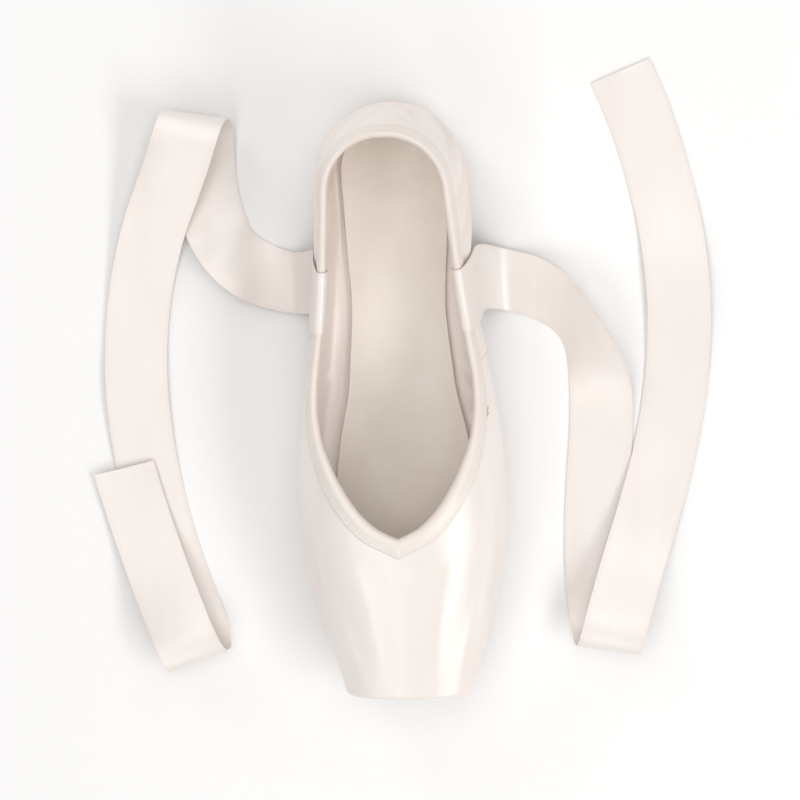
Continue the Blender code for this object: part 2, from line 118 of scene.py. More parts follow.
# Sections of the last: share of the body's length, width, height of the widest point, crown height, flat share
SECTIONS = (
    (0.000, PLATFORM_WIDTH, (PLATFORM_BOTTOM + PLATFORM_TOP) / 2, PLATFORM_TOP, 0.58),
    (0.089, mix(PLATFORM_WIDTH, BALL_WIDTH, 0.31), WIDEST_HEIGHT * 0.96, mix(PLATFORM_TOP, THROAT_CROWN, 0.27), 0.72),
    (0.179, mix(PLATFORM_WIDTH, BALL_WIDTH, 0.62), WIDEST_HEIGHT * 0.97, mix(PLATFORM_TOP, THROAT_CROWN, 0.53), 0.74),
    (0.268, mix(PLATFORM_WIDTH, BALL_WIDTH, 0.885), WIDEST_HEIGHT, mix(PLATFORM_TOP, THROAT_CROWN, 0.78), 0.715),
    (0.357, BALL_WIDTH, WIDEST_HEIGHT * 1.02, THROAT_CROWN, 0.70),
    (0.478, BALL_WIDTH * 0.98, WIDEST_HEIGHT * 1.01, mix(THROAT_CROWN, HEEL_CROWN, 0.10), 0.64),
    (0.594, mix(BALL_WIDTH, WAIST_WIDTH, 0.38), WIDEST_HEIGHT, mix(THROAT_CROWN, HEEL_CROWN, 0.22), 0.57),
    (0.729, mix(BALL_WIDTH, WAIST_WIDTH, 0.82), WIDEST_HEIGHT * 0.96, mix(THROAT_CROWN, HEEL_CROWN, 0.45), 0.58),
    (0.865, mix(WAIST_WIDTH, HEEL_WIDTH, 0.40), WIDEST_HEIGHT * 0.92, mix(THROAT_CROWN, HEEL_CROWN, 0.74), 0.67),
    (1.000, HEEL_WIDTH, WIDEST_HEIGHT * 0.90, HEEL_CROWN, 0.73),
)
# The collar: share of the way from the point of the V to the back of the heel, and the angle on the section
COLLAR = (
    (0, 90), (0.026, 77.4), (0.06, 68), (0.113, 57.2),
    (0.178, 46.3), (0.243, 36.2), (0.307, 29.3), (0.377, 26.5),
    (0.453, 27), (0.604, 30.3), (0.755, 36), (1, 41),
)

# Folds of the satin, in millimetres: side (0 both), then where each starts and ends, as distance along the shoe
# and up from the edge of the flat, then the trough's depth and width
FOLDS = (
    (1, 205, 3, 150, 29, 1.3, 3.4), (1, 210, 5, 157, 43, 1.55, 3.4), (1, 217, 8, 174, 50, 1.5, 3.2),
    (1, 226, 11, 193, 54, 1.3, 2.9), (1, 237, 15, 212, 57, 1.1, 2.6), (1, 248, 24, 231, 58, 0.8, 2.2),
    (1, 196, 2, 158, 15, 0.8, 2.6), (1, 250, 40, 236, 50, 0.5, 1.5), (-1, 204, 3, 154, 27, 1.2, 3.3),
    (-1, 212, 5, 161, 41, 1.5, 3.4), (-1, 221, 8, 180, 49, 1.45, 3.1), (-1, 231, 13, 201, 54, 1.2, 2.8),
    (-1, 243, 19, 221, 58, 0.95, 2.4), (-1, 250, 32, 238, 57, 0.7, 2), (-1, 198, 2, 163, 13, 0.7, 2.4),
    (-1, 246, 44, 229, 51, 0.5, 1.5), (1, 131, 2, 119, 14, 0.34, 2), (1, 125, 3, 108, 9, 0.3, 1.8),
    (-1, 133, 2, 122, 13, 0.32, 2), (-1, 121, 2, 107, 8, 0.28, 1.8), (0, 112, 2, 97, 7, 0.22, 1.6),
    (1, 7, 46, 62, 66, 0.2, 3.4), (1, 5, 37, 66, 46, 0.24, 4), (1, 6, 28, 84, 30, 0.18, 4.5),
    (-1, 6, 48, 60, 70, 0.22, 3.6), (-1, 5, 39, 64, 50, 0.2, 3.6), (-1, 7, 30, 80, 34, 0.18, 4.5),
    (1, 96, 24, 80, 40, 0.24, 3), (-1, 98, 23, 84, 38, 0.22, 3),
)

# Ways of the ribbons on the floor: centre x and y and height of the lower edge in millimetres, direction across
# the ribbon in plan and its tilt, in degrees
RIGHT_ROUTE = (
    (45.2, 43, 0.5, 89, 2), (52.5, 41, 0.1, 80, 7), (60, 37.2, 0, 64, 20),
    (67, 31, 0, 47, 34), (72.6, 22.6, 0, 29, 38), (76.4, 12.6, 0, 14, 28),
    (78.2, 1.4, 0.1, 4, 13), (78.4, -11, 0.2, -2, 3), (77.4, -25, 0.2, -5, 0),
    (75.8, -42, 0.2, -5, 0), (74.6, -60, 0.2, -2, 0), (74.6, -76, 0.6, 1, 0),
    (75.4, -90, 1.8, 0, 0), (76.6, -100.5, 5, -5, 0), (77.9, -105.2, 10, -9, 0),
    (79.6, -103, 14.8, -11, 0), (82, -94.8, 15.8, -13, 0), (85.2, -84.4, 11.8, -15, 0),
    (88.6, -73.6, 7, -17, 0), (92.4, -62.2, 3.3, -18, -2), (97, -48, 1.2, -18, -3),
    (102, -31, 0.3, -16, -1), (106.2, -12, 0.2, -12, 0), (109, 8, 0.6, -7, 0),
    (110.2, 28, 1.8, -1, 0), (109.6, 46, 2, 4, 0), (107.4, 64, 0.8, 9, 0),
    (104, 81, 0.2, 13, 0), (99.6, 98, 0.2, 16, 0), (95, 112, 0.2, 19, 0),
    (89.6, 125.4, 0.2, 22, 0),
)
LEFT_ROUTE = (
    (-45.2, 45.2, 0.5, -91, 2), (-52.5, 47.6, 0.1, -102, 7), (-60, 52, 0, -119, 18),
    (-66.6, 58.8, 0, -137, 25), (-71.6, 67.6, 0, -155, 13), (-74.6, 78, 0.1, -169, 3),
    (-75.8, 89, 0.2, -176, 0), (-75.8, 99, 1.2, -180, 0), (-75.6, 108.6, 4.2, -184, 0),
    (-76.4, 113.8, 9.2, -189, 0), (-78.4, 112.6, 14.2, -194, 0), (-81.4, 104.8, 15.8, -198, 0),
    (-85.4, 94.4, 12.4, -201, 0), (-90, 83.6, 9.2, -203, 0), (-94.8, 72.2, 6.2, -202, 0),
    (-99.6, 58.4, 3.2, -199, 0), (-103.6, 42, 1.3, -193, 0), (-106.2, 23.4, 0.9, -187, 0),
    (-107, 3.4, 1.7, -180, 0), (-105.8, -17, 1.2, -175, 0), (-103, -38, 0.3, -171, 0),
    (-98.8, -58, 0.2, -166, 0), (-93.4, -77, 0.2, -163, 0), (-88.4, -92, 1, -161, 0),
    (-85.6, -101.4, 3.8, -161, 0), (-84.8, -106.4, 8.6, -160, 0), (-86.6, -106.2, 13.2, -159, 0),
    (-90.2, -98.8, 14.6, -158, 0), (-94.8, -88, 11, -157, 0), (-99.8, -76, 6.4, -158, 0),
    (-104.8, -62, 2.9, -161, 0), (-109.6, -46, 1.6, -164, 0), (-113.8, -29, 2.1, -167, 0),
)


class Curve:
    """A smooth curve through a few rows that never overshoots between them."""

    def __init__(self, rows, column):
        self.places = np.array([row[0] for row in rows], float)
        self.values = np.array([row[column] for row in rows], float)
        step = np.diff(self.places)
        rise = np.diff(self.values) / step
        self.slopes = np.concatenate([rise[:1], np.zeros(len(rise) - 1), rise[-1:]])
        for i in range(1, len(rise)):
            if rise[i - 1] * rise[i] > 0:
                near, far = 2 * step[i] + step[i - 1], step[i] + 2 * step[i - 1]
                self.slopes[i] = (near + far) / (near / rise[i - 1] + far / rise[i])

    def __call__(self, place):
        place = np.clip(place, self.places[0], self.places[-1])
        i = np.clip(np.searchsorted(self.places, place, side="right") - 1, 0, len(self.places) - 2)
        step = self.places[i + 1] - self.places[i]
        leave, land = self.slopes[i] * step, self.slopes[i + 1] * step
        return hermite(self.values[i], leave, self.values[i + 1], land, (place - self.places[i]) / step)


WIDTH_AT, WIDEST_AT, CROWN_AT, FLAT_AT = (Curve(SECTIONS, i) for i in (1, 2, 3, 4))
COLLAR_AT = Curve(COLLAR, 1)


def ease(share):
    share = np.clip(share, 0.0, 1.0)
    return share * share * (3 - 2 * share)


def hump(distance, width, power=2):
    return np.exp(-((distance / width) ** power))


def unit(vectors):
    return vectors / np.linalg.norm(vectors, axis=-1, keepdims=True)


def hermite(first, leave, last, land, t):
    """Between first and last, from how the way leaves the one and lands on the other."""
    start = first * (1 + 2 * t) * (1 - t) ** 2 + leave * t * (1 - t) ** 2
    return start + last * t * t * (3 - 2 * t) - land * t * t * (1 - t)


def sole_rise(station):
    share = station / BODY_LENGTH
    spring = TOE_LIFT * np.clip((0.19 - share) / 0.19, 0, 1) ** 2
    arch = ARCH_RISE * np.sin(math.pi * np.clip((share - 0.5) / 0.43, 0, 1)) ** 2
    return spring + arch


def wall_at(run):
    return mix(BOX_WALL, QUARTER_WALL, ease((run / BODY_LENGTH - 0.29) / 0.27))


def flat_half_width(station):
    share = station / BODY_LENGTH
    return FLAT_AT(share) * WIDTH_AT(share) / 2


def last_points(run, angle, inset=0.0):
    """Points of the last's right half, moved in by inset. Angle -180 is under the middle and 90 the crown."""
    run, angle, inset = np.broadcast_arrays(np.asarray(run, float), angle, inset)
    station = np.minimum(run, BODY_LENGTH)
    turn = np.maximum(0.0, run - BODY_LENGTH) / HEEL_RADIUS
    share = station / BODY_LENGTH
    half = WIDTH_AT(share) / 2 - inset
    widest = WIDEST_AT(share)
    bottom = sole_rise(station) + SOLE_TOP + inset
    flat = flat_half_width(station)
    cosine, sine = np.cos(np.radians(angle)), np.sin(np.radians(np.abs(angle)))
    out = cosine * (1 + ROUND_FULLNESS * sine**2)
    lift = sine * (1 + ROUND_FULLNESS * cosine**2)
    reach = np.where(angle < 0, mix(flat, half, out), half * out)
    above = CROWN_AT(share) - inset - widest
    height = np.where(angle < 0, widest - (widest - bottom) * lift, widest + above * lift)
    under = angle <= -90
    reach = np.where(under, flat * (1 + (angle + 90) / 90), reach)
    height = np.where(under, bottom, height)
    y = station - SHOE_LENGTH / 2 + reach * np.sin(turn)
    return np.stack([reach * np.cos(turn), y, height], axis=-1)


def collar_angle(run):
    return np.where(run > VAMP_LENGTH, COLLAR_AT((run - VAMP_LENGTH) / (RUN_END - VAMP_LENGTH)), 90.0)


def outline_half_width(station, inset, toe_end):
    share = np.clip((station - toe_end) / ROUND_END_LENGTH, 0, 1)
    return (flat_half_width(station) - inset) * np.sqrt(1 - (1 - share) ** 2)


def lower_angle(run):
    station = np.minimum(run, BODY_LENGTH)
    opening = outline_half_width(station, LASTING_MARGIN, OPENING_TOE_END)
    return -180 + 90 * opening / flat_half_width(station)


def seam_shift(run):
    return SEAM_SLANT / 2 * np.cos(math.pi / 2 * np.minimum(np.abs(run - SEAM_PLACE) / SEAM_FADE, 1.0)) ** 2


def edge_inset(run):
    near = np.clip(PLATFORM_EDGE - run, 0, None)
    return PLATFORM_EDGE - np.sqrt(PLATFORM_EDGE**2 - near**2)


def lengths_along(points):
    """Distance of each point from the first, along the line that they make."""
    return np.concatenate([[0], np.cumsum(np.linalg.norm(np.diff(points, axis=0), axis=1))])


def evenly(points, columns, count):
    """The values of each column at places spaced evenly along the points."""
    along = lengths_along(points)
    want = np.linspace(0, along[-1], count)
    return np.array([np.interp(want, along, column) for column in columns])


def spread(low, high, count):
    """(run, angle) pairs between two of them, evenly spaced on the last."""
    share = np.linspace(0, 1, 80)
    run, angle = mix(low[0], high[0], share), mix(low[1], high[1], share)
    return evenly(last_points(run, angle, edge_inset(run)), (run, angle), count + 1)


def lengths_up(points):
    """Distance of each point along its row, from the row's first."""
    return np.array([lengths_along(row) for row in points])


def grid_normals(points):
    along = np.gradient(points, axis=0)
    across = np.gradient(points, axis=1)
    normals = np.cross(along, across)
    size = np.linalg.norm(normals, axis=2, keepdims=True)
    return normals / np.maximum(size, 1e-12)


def clear_selection():
    if bpy.context.object and bpy.context.object.mode != "OBJECT":
        bpy.ops.object.mode_set(mode="OBJECT")
    bpy.ops.object.select_all(action="DESELECT")


def pick(obj):
    clear_selection()
    obj.select_set(True)
    bpy.context.view_layer.objects.active = obj


def apply_modifier(obj, kind, **values):
    pick(obj)
    modifier = obj.modifiers.new(kind.title(), kind)
    for key, value in values.items():
        setattr(modifier, key, value)
    bpy.ops.object.modifier_apply(modifier=modifier.name)


def grid_piece(name, points, uv, paint, slots=None):
    """A plane grid laid onto rows of points. Normals point along (next row) x (next column)."""
    clear_selection()
    rows, columns = points.shape[:2]
    bpy.ops.mesh.primitive_grid_add(x_subdivisions=rows - 1, y_subdivisions=columns - 1, size=1.0)
    obj = bpy.context.object
    obj.name = obj.data.name = name
    mesh = obj.data
    place = np.empty(len(mesh.vertices) * 3)
    mesh.vertices.foreach_get("co", place)
    place = place.reshape(-1, 3)
    i = np.rint((place[:, 0] + 0.5) * (rows - 1)).astype(int)
    j = np.rint((place[:, 1] + 0.5) * (columns - 1)).astype(int)
    if slots is not None:
        for face in mesh.polygons:
            face.material_index = int(slots[min(int(j[v]) for v in face.vertices)])
    mesh.vertices.foreach_set("co", points[i, j].ravel())
    loops = np.empty(len(mesh.loops), int)
    mesh.loops.foreach_get("vertex_index", loops)
    mesh.uv_layers[0].data.foreach_set("uv", uv[i[loops], j[loops]].ravel())
    layer = mesh.color_attributes.new("tone", "FLOAT_COLOR", "POINT")
    tone = paint[i, j]
    layer.data.foreach_set("color", np.stack([tone, tone, tone, np.ones_like(tone)], axis=1).ravel())
    mesh.update()
    return obj


def join(name, objects):
    clear_selection()
    for obj in objects:
        obj.select_set(True)
    bpy.context.view_layer.objects.active = objects[0]
    bpy.ops.object.join()
    objects[0].name = objects[0].data.name = name
    return objects[0]


def mirror(points, side):
    return points * np.array([side, 1, 1])


def half_piece(name, side, points, uv, paint, slots=None, way=1):
    """One side of a piece, from the grid of its right half, which is mirrored for the left."""
    order = slice(None, None, side * way)
    shown = mirror(points, side)
    slots = slots if slots is None else slots[order]
    return grid_piece(f"{name}_{side}", shown[:, order], uv[:, order], paint[:, order], slots)


def edit_mesh(obj, operator, **values):
    """Runs a mesh operator on the whole piece."""
    pick(obj)
    bpy.ops.object.mode_set(mode="EDIT")
    bpy.ops.mesh.select_all(action="SELECT")
    operator(**values)
    bpy.ops.object.mode_set(mode="OBJECT")


def delete_centre_faces(obj):
    """Takes out the faces in the middle plane, between the two halves."""
    edit_mesh(obj, bpy.ops.mesh.select_mode, type="FACE")
    edit_mesh(obj, bpy.ops.mesh.select_all, action="DESELECT")
    corners = obj.data.vertices
    for face in obj.data.polygons:
        face.select = all(abs(corners[v].co.x) < 1e-7 for v in face.vertices)
    bpy.ops.object.mode_set(mode="EDIT")
    bpy.ops.mesh.delete(type="FACE")
    bpy.ops.object.mode_set(mode="OBJECT")


def smooth(obj, degrees):
    pick(obj)
    bpy.ops.object.shade_smooth_by_angle(angle=math.radians(degrees))


def finish_piece(obj, materials, node=None):
    obj.data.materials.clear()
    for material in materials:
        obj.data.materials.append(material)
    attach(obj, "root")
    if node:
        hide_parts(node)


# Materials


def new_material(name):
    material = bpy.data.materials.new(name)
    material.use_nodes = True
    return material, material.node_tree, material.node_tree.nodes["Principled BSDF"]


def feed(tree, made, inputs):
    """Links each input of a node to a socket, or sets it to a value."""
    for key, value in inputs.items():
        if isinstance(value, bpy.types.NodeSocket):
            tree.links.new(value, made.inputs[key])
        else:
            made.inputs[key].default_value = value


def node(tree, kind, inputs=None, **settings):
    made = tree.nodes.new(kind)
    for key, value in settings.items():
        setattr(made, key, value)
    feed(tree, made, inputs or {})
    return made


def stretched(tree, scale=(1, 1, 1), source="UV"):
    """The piece's own map, scaled."""
    coordinates = node(tree, "ShaderNodeTexCoord")
    mapped = node(tree, "ShaderNodeMapping", {"Vector": coordinates.outputs[source], "Scale": scale})
    return mapped.outputs["Vector"]


def noise(tree, vector, scale, detail, rough):
    inputs = {"Vector": vector, "Scale": scale, "Detail": detail, "Roughness": rough}
    return node(tree, "ShaderNodeTexNoise", inputs).outputs["Fac"]


def waves(tree, vector, scale, distortion, way, detail=1):
    inputs = {"Vector": vector, "Scale": scale, "Distortion": distortion, "Detail": detail}
    return node(tree, "ShaderNodeTexWave", inputs, bands_direction=way).outputs["Fac"]


def remap(tree, value, low, high, to_low=0, to_high=1):
    inputs = {"Value": value, "From Min": low, "From Max": high, "To Min": to_low, "To Max": to_high}
    return node(tree, "ShaderNodeMapRange", inputs).outputs["Result"]


def blend(tree, factor, first, second):
    """Two colours mixed. The node has more sockets of one name, so they go by number."""
    return node(tree, "ShaderNodeMix", {0: factor, 6: first, 7: second}, data_type="RGBA").outputs[2]


def add_bump(tree, height, distance, strength, under=None):
    inputs = {"Height": height, "Distance": distance, "Strength": strength}
    if under:
        inputs["Normal"] = under
    return node(tree, "ShaderNodeBump", inputs).outputs["Normal"]


def satin(name, light, warm, streak_scale, roughness, anisotropy=0.55):
    """Woven satin: long floats run one way, so gloss spreads across them. Soft bands along each piece are painted
    sheen.
    """
    material, tree, shader = new_material(name)
    streaks = noise(tree, stretched(tree, streak_scale), 1, 4, 0.62)
    cloudy = noise(tree, stretched(tree, (38, 38, 38), "Object"), 1, 3, 0.55)
    # Painted sheen: soft bands along the piece, blended towards the warm colour
    painted_sheen_bands = noise(tree, stretched(tree, (62, 5, 9), "Object"), 1, 2, 0.5)
    # Tone mixes the light colour to the warm one; on the upper and the tape it also carries painted shade
    tone = node(tree, "ShaderNodeAttribute", attribute_name="tone").outputs["Fac"]
    base = blend(tree, tone, light, warm)
    for value, low, high, most, colour in (
        (painted_sheen_bands, 0.42, 0.66, 0.55, warm),
        (cloudy, 0.35, 0.7, 0.22, warm),
        (streaks, 0.45, 0.7, 0.05, (0.80, 0.68, 0.62, 1)),
        # Tone above 1 darkens to a deep colour: painted shade along seams, edges, creases and fold troughs
        (tone, 1, 2, 1, (0.60, 0.44, 0.37, 1)),
    ):
        base = blend(tree, remap(tree, value, low, high, 0, most), base, colour)
    slack = add_bump(tree, cloudy, 0.0011, 0.30)
    ripple = add_bump(tree, streaks, 0.0001, 0.35, slack)
    threads = waves(tree, stretched(tree), 950, 1.2, "Y")
    inputs = {
        "Base Color": base,
        "Roughness": remap(tree, streaks, 0.3, 0.7, roughness - 0.04, roughness + 0.05),
        "Anisotropic": anisotropy,
        "Metallic": 0.12,
        "Specular IOR Level": 0.6,
        "Sheen Weight": 0.10,
        "Sheen Roughness": 0.45,
        "Sheen Tint": (1, 0.90, 0.86, 1),
        "Tangent": node(tree, "ShaderNodeTangent", direction_type="UV_MAP").outputs["Tangent"],
        "Normal": add_bump(tree, threads, 0.00002, 0.35, ripple),
    }
    feed(tree, shader, inputs)
    return material


def cotton(name, light, dark, scale=620):
    """Plain woven lining cloth."""
    material, tree, shader = new_material(name)
    mottled = noise(tree, stretched(tree, (60, 60, 60), "Object"), 1, 4, 0.6)
    warp, weft = (waves(tree, stretched(tree), scale, 0.8, way) for way in ("X", "Y"))
    weave = node(tree, "ShaderNodeMath", {0: warp, 1: weft}, operation="MAXIMUM").outputs[0]
    base = blend(tree, remap(tree, mottled, 0.3, 0.7, 0, 0.6), light, dark)
    base = blend(tree, remap(tree, weave, 0, 1, 0.14, 0), base, dark)
    normal = add_bump(tree, weave, 0.00010, 0.6, add_bump(tree, mottled, 0.0005, 0.4))
    feed(tree, shader, {"Base Color": base, "Roughness": 0.86, "Sheen Weight": 0.15, "Normal": normal})
    return material


def suede(name):
    """Sole leather, tan and napped, with a dark burnished edge."""
    material, tree, shader = new_material(name)
    place = stretched(tree, source="Object")
    coarse = noise(tree, place, 70, 5, 0.65)
    nap = noise(tree, place, 900, 4, 0.7)
    edge = node(tree, "ShaderNodeAttribute", attribute_name="tone").outputs["Fac"]
    base = blend(tree, remap(tree, coarse, 0.32, 0.7), (0.73, 0.46, 0.28, 1), (0.61, 0.37, 0.21, 1))
    base = blend(tree, remap(tree, nap, 0.35, 0.68, 0, 0.55), base, (0.83, 0.58, 0.38, 1))
    base = blend(tree, edge, base, (0.17, 0.075, 0.035, 1))
    dull = remap(tree, edge, 0, 1, 0.84, 0.48)
    normal = add_bump(tree, nap, 0.00016, 0.6, add_bump(tree, coarse, 0.0006, 0.35))
    feed(tree, shader, {"Base Color": base, "Roughness": dull, "Sheen Weight": 0.10, "Normal": normal})
    return material


def thread(name, colour, roughness=0.55):
    """Sewing thread with the turn of its ply."""
    material, tree, shader = new_material(name)
    ply = waves(tree, stretched(tree, source="Object"), 900, 2, "DIAGONAL", 2)
    dark = tuple(c * 0.78 for c in colour[:3]) + (1,)
    base = blend(tree, remap(tree, ply, 0.2, 0.8, 0.45, 0), colour, dark)
    normal = add_bump(tree, ply, 0.00005, 0.6)
    feed(tree, shader, {"Base Color": base, "Roughness": roughness, "Normal": normal})
    return material


def floor_paper():
    """Seamless studio paper that glows a little far from the shoe: painted light that brightens the far floor."""
    material, tree, shader = new_material("studio_paper")
    place = stretched(tree, source="Object")
    grain = remap(tree, noise(tree, place, 420, 3, 0.6), 0.3, 0.7)
    away = node(tree, "ShaderNodeVectorMath", {0: place}, operation="LENGTH").outputs["Value"]
    inputs = {
        "Base Color": blend(tree, grain, (0.90, 0.895, 0.89, 1), (0.91, 0.905, 0.90, 1)),
        "Roughness": 0.9,
        "Specular IOR Level": 0.2,
        "Emission Color": (1, 0.995, 0.99, 1),
        # Painted light: the paper glows more the farther it is from the middle
        "Emission Strength": remap(tree, away, 0.5, 1.7, 0, 0.5),
    }
    feed(tree, shader, inputs)
    return material


# Pieces


def fold_depth(side, along, up):
    """How far the satin's folds move the surface out, in metres."""
    out = np.zeros_like(along)
    s, h = along / MM, up / MM
    for where, s0, h0, s1, h1, depth, width in FOLDS:
        if where and where != side:
            continue
        length = math.hypot(s1 - s0, h1 - h0)
        a, b = (s1 - s0) / length, (h1 - h0) / length
        t = ((s - s0) * a + (h - h0) * b) / length
        bow = 0.05 * length * np.sin(math.pi * np.clip(t, 0, 1))
        away = (s - s0) * b - (h - h0) * a + bow
        taper = ease(t / 0.30) * ease((1 - t) / 0.18)
        spread_out = width * (0.6 + 0.7 * np.clip(t, 0, 1)) * np.where(away > 0, 0.7, 1.3)
        ridges = hump(np.abs(away) - 1.9 * spread_out, spread_out)
        out += depth * MM * taper * (0.5 * ridges - hump(away, spread_out))
    return out


def gather_depth(side, along, up):
    """Small gathers where the satin turns under the sole at heel and toe."""
    heel = 0.00022 * ease((along - 0.196) / 0.02) * np.sin(along / MM * 2 * math.pi / 5.2 + side) ** 3
    toe = 0.00014 * ease((0.05 - along) / 0.02) * np.sin(along / MM * 2 * math.pi / 4.1 + 1.3 * side)
    return heel * hump(up, 9 * MM) + toe * hump(up + 2 * MM, 5 * MM)


def seam_height(off):
    """Profile of the side seam: a firm step on the toe side and a long easy slope to the heel."""
    step = ease((off + 0.0012) / 0.0006)
    slope = 1 - ease((off - 0.0015) / 0.0075)
    return SEAM_STEP * step * slope


def upper_runs():
    """Places of the upper's rows, closer at the rim, the point of the V and the side seam."""
    near_edge = PLATFORM_EDGE * (1 - np.cos(np.radians([0, 12, 25, 38, 52, 66, 80])))
    keys = [near_edge, [0.0014, 0.0019], np.arange(0.0026, 0.0635, 0.0017), np.arange(0.0638, 0.0728, 0.0006)]
    keys += [np.arange(0.0735, 0.138, 0.0015), np.arange(0.1385, 0.1455, 0.0003)]
    keys += [np.arange(0.1462, 0.152, 0.0008), np.arange(0.153, RUN_END - 0.001, 0.0015), [RUN_END]]
    keys += [[OPENING_TOE_END, VAMP_LENGTH]]
    runs = np.unique(np.round(np.concatenate(keys), 6))
    return runs[np.concatenate([[True], np.diff(runs) > 0.00004])]


def closed_rows(out, back):
    """Rows that run out along one skin, back along the other and end where they began."""
    return np.concatenate([out, back[:, ::-1], out[:, :1]], axis=1)


def build_upper(materials):
    """Satin and lining as one closed skin, with the folds, the seam and the groove along the tape, and painted shade
    in its tone.
    """
    runs = upper_runs()
    under, side_columns = 10, 58
    run_rows, angle_rows = [], []
    for run in runs:
        low, high = run + seam_shift(run), run - seam_shift(run)
        first = spread((low, lower_angle(low)), (low, SIDE_START), under)
        second = spread((low, SIDE_START), (high, collar_angle(high)), side_columns)
        run_rows.append(np.concatenate([first[0][:-1], second[0]]))
        angle_rows.append(np.concatenate([first[1][:-1], second[1]]))
    along, angle = np.array(run_rows), np.array(angle_rows)
    outer = last_points(along, angle, edge_inset(along))
    moved = along + BOX_WALL * np.clip(1 - along / (0.12 * BODY_LENGTH), 0, 1)
    inner = last_points(moved, angle, wall_at(along) + edge_inset(along))
    from_edge = lengths_up(outer)
    flat_edge = np.array([np.interp(-90, angle[i], from_edge[i]) for i in range(len(runs))])[:, None]
    up = from_edge - flat_edge
    to_collar = from_edge[:, -1:] - from_edge
    place, off = runs[:, None], runs[:, None] - SEAM_PLACE
    off_collar = ease((to_collar - BINDING_WIDTH - 0.0008) / 0.008)
    off_point = ease((np.hypot(to_collar, along - VAMP_LENGTH) - BINDING_WIDTH - 0.002) / 0.008)
    off_binding = np.minimum(np.where(place > VAMP_LENGTH - 0.001, off_collar, 1.0), off_point)
    off_sole = ease((up + 0.0005) / 0.005)
    seam = seam_height(off) * off_sole * ease((to_collar - BINDING_WIDTH) / 0.002)
    from_tape = np.where(place > VAMP_LENGTH, to_collar, np.hypot(to_collar, 1.9 * (VAMP_LENGTH - along)))
    groove = -TAPE_GROOVE * hump(from_tape - BINDING_WIDTH, 0.0009)
    normals = grid_normals(outer)
    held_flat = hump(along - RIBBON_PLACE, 0.0185, 4)
    # Painted shade: a darker band over the zigzag stitching behind the seam, and a painted shadow line along the
    # seam's step on the toe side
    sewn_band_painted_shade = 0.5 * ease(off / 0.0006) * (1 - ease((off - 0.0068) / 0.0008))
    seam_painted_shade = (sewn_band_painted_shade + 1.9 * hump(off + 0.0010, 0.0004)) * off_sole
    # Painted shadow: a thin darker line all round the platform's rim
    rim_painted_shadow = 0.7 * hump(along, 0.0007)
    pieces = []
    for side in (1, -1):
        centre = ease(outer[..., 0] / 0.006)
        folds = fold_depth(side, along, up) * off_binding * off_sole * centre * (1 - 0.6 * held_flat)
        # Painted shade in the troughs of the folds, added to the painted seam and rim lines
        shade = seam_painted_shade + rim_painted_shadow + 0.5 * np.clip(-folds / 0.0013, 0, 1)
        folds += gather_depth(side, along, up) * centre * ease((up + 0.006) / 0.004)
        satin_skin = outer + normals * (folds + seam + groove)[..., None]
        lining_skin = inner + normals * (folds * (0.8 - 0.65 * held_flat))[..., None]
        satin_skin[outer[..., 0] < 1e-6, 0] = 0.0
        lining_skin[inner[..., 0] < 1e-6, 0] = 0.0
        skins = []
        for skin in (satin_skin, lining_skin):
            middle = np.array([0.0, skin[0, 0, 1], (skin[0, 0, 2] + skin[0, -1, 2]) / 2])
            rings = [middle + (skin[0] - middle) * share for share in (0.0, 0.2, 0.4, 0.58, 0.74, 0.87, 0.95)]
            skins.append(np.concatenate([np.array(rings), skin]))
        extra = len(skins[0]) - len(runs)
        platform = skins[0][:extra]
        u = np.concatenate([platform[..., 2] - platform[-1, -1, 2], along])
        v = np.concatenate([up[0, -1] - platform[..., 0], up])
        u, v = closed_rows(u, u), closed_rows(v, v)
        # Painted shade: warmer and darker low down, where the sides turn from the light; also warmer towards the heel
        painted_low_shade = 1 - ease((v - 0.018) / 0.024)
        tone = np.clip(0.15 + 0.55 * painted_low_shade + 0.25 * ease((u - 0.12) / 0.08), 0, 1)
        columns = skins[0].shape[1]
        # The painted shade goes onto the satin skin only
        tone[extra:, :columns] += shade
        slots = np.repeat([0, 1], columns)
        uv = np.stack([u, v], axis=2)
        pieces.append(half_piece("satin_upper", side, closed_rows(*skins), uv, tone, slots))
    obj = join("satin_upper", pieces)
    delete_centre_faces(obj)
    edit_mesh(obj, bpy.ops.mesh.remove_doubles, threshold=TOUCHING)
    smooth(obj, 55)
    finish_piece(obj, materials, "upper")


def hem_frame(run):
    """The collar's edge there, its angle, and the way off the opening as (run, angle) and in space."""
    step = 0.0002
    angle = collar_angle(run)
    edge = last_points(run, angle)
    along_run = (last_points(run + step, angle) - last_points(run - step, angle)) / (2 * step)
    along_angle = (last_points(run, angle + 0.2) - last_points(run, angle - 0.2)) / 0.4
    ahead = min(run + step, RUN_END)
    behind = max(ahead - 2 * step, VAMP_LENGTH)
    tangent = unit(last_points(ahead, collar_angle(ahead)) - last_points(behind, collar_angle(behind)))
    away = unit(np.cross(tangent, unit(np.cross(along_run, along_angle))))
    if run <= VAMP_LENGTH:
        away = -unit(along_run) / math.hypot(tangent[0], 1e-9)
    a, b, c = along_run @ along_run, along_run @ along_angle, along_angle @ along_angle
    p, q = along_run @ away, along_angle @ away
    change = ((p * c - q * b) / (a * c - b * b), (q * a - p * b) / (a * c - b * b))
    return edge, angle, change, away


def below_collar(run, deep):
    """(run, angle) of the place that far below the collar's edge."""
    _, angle, change, _ = hem_frame(run)
    return run + change[0] * deep, angle + change[1] * deep


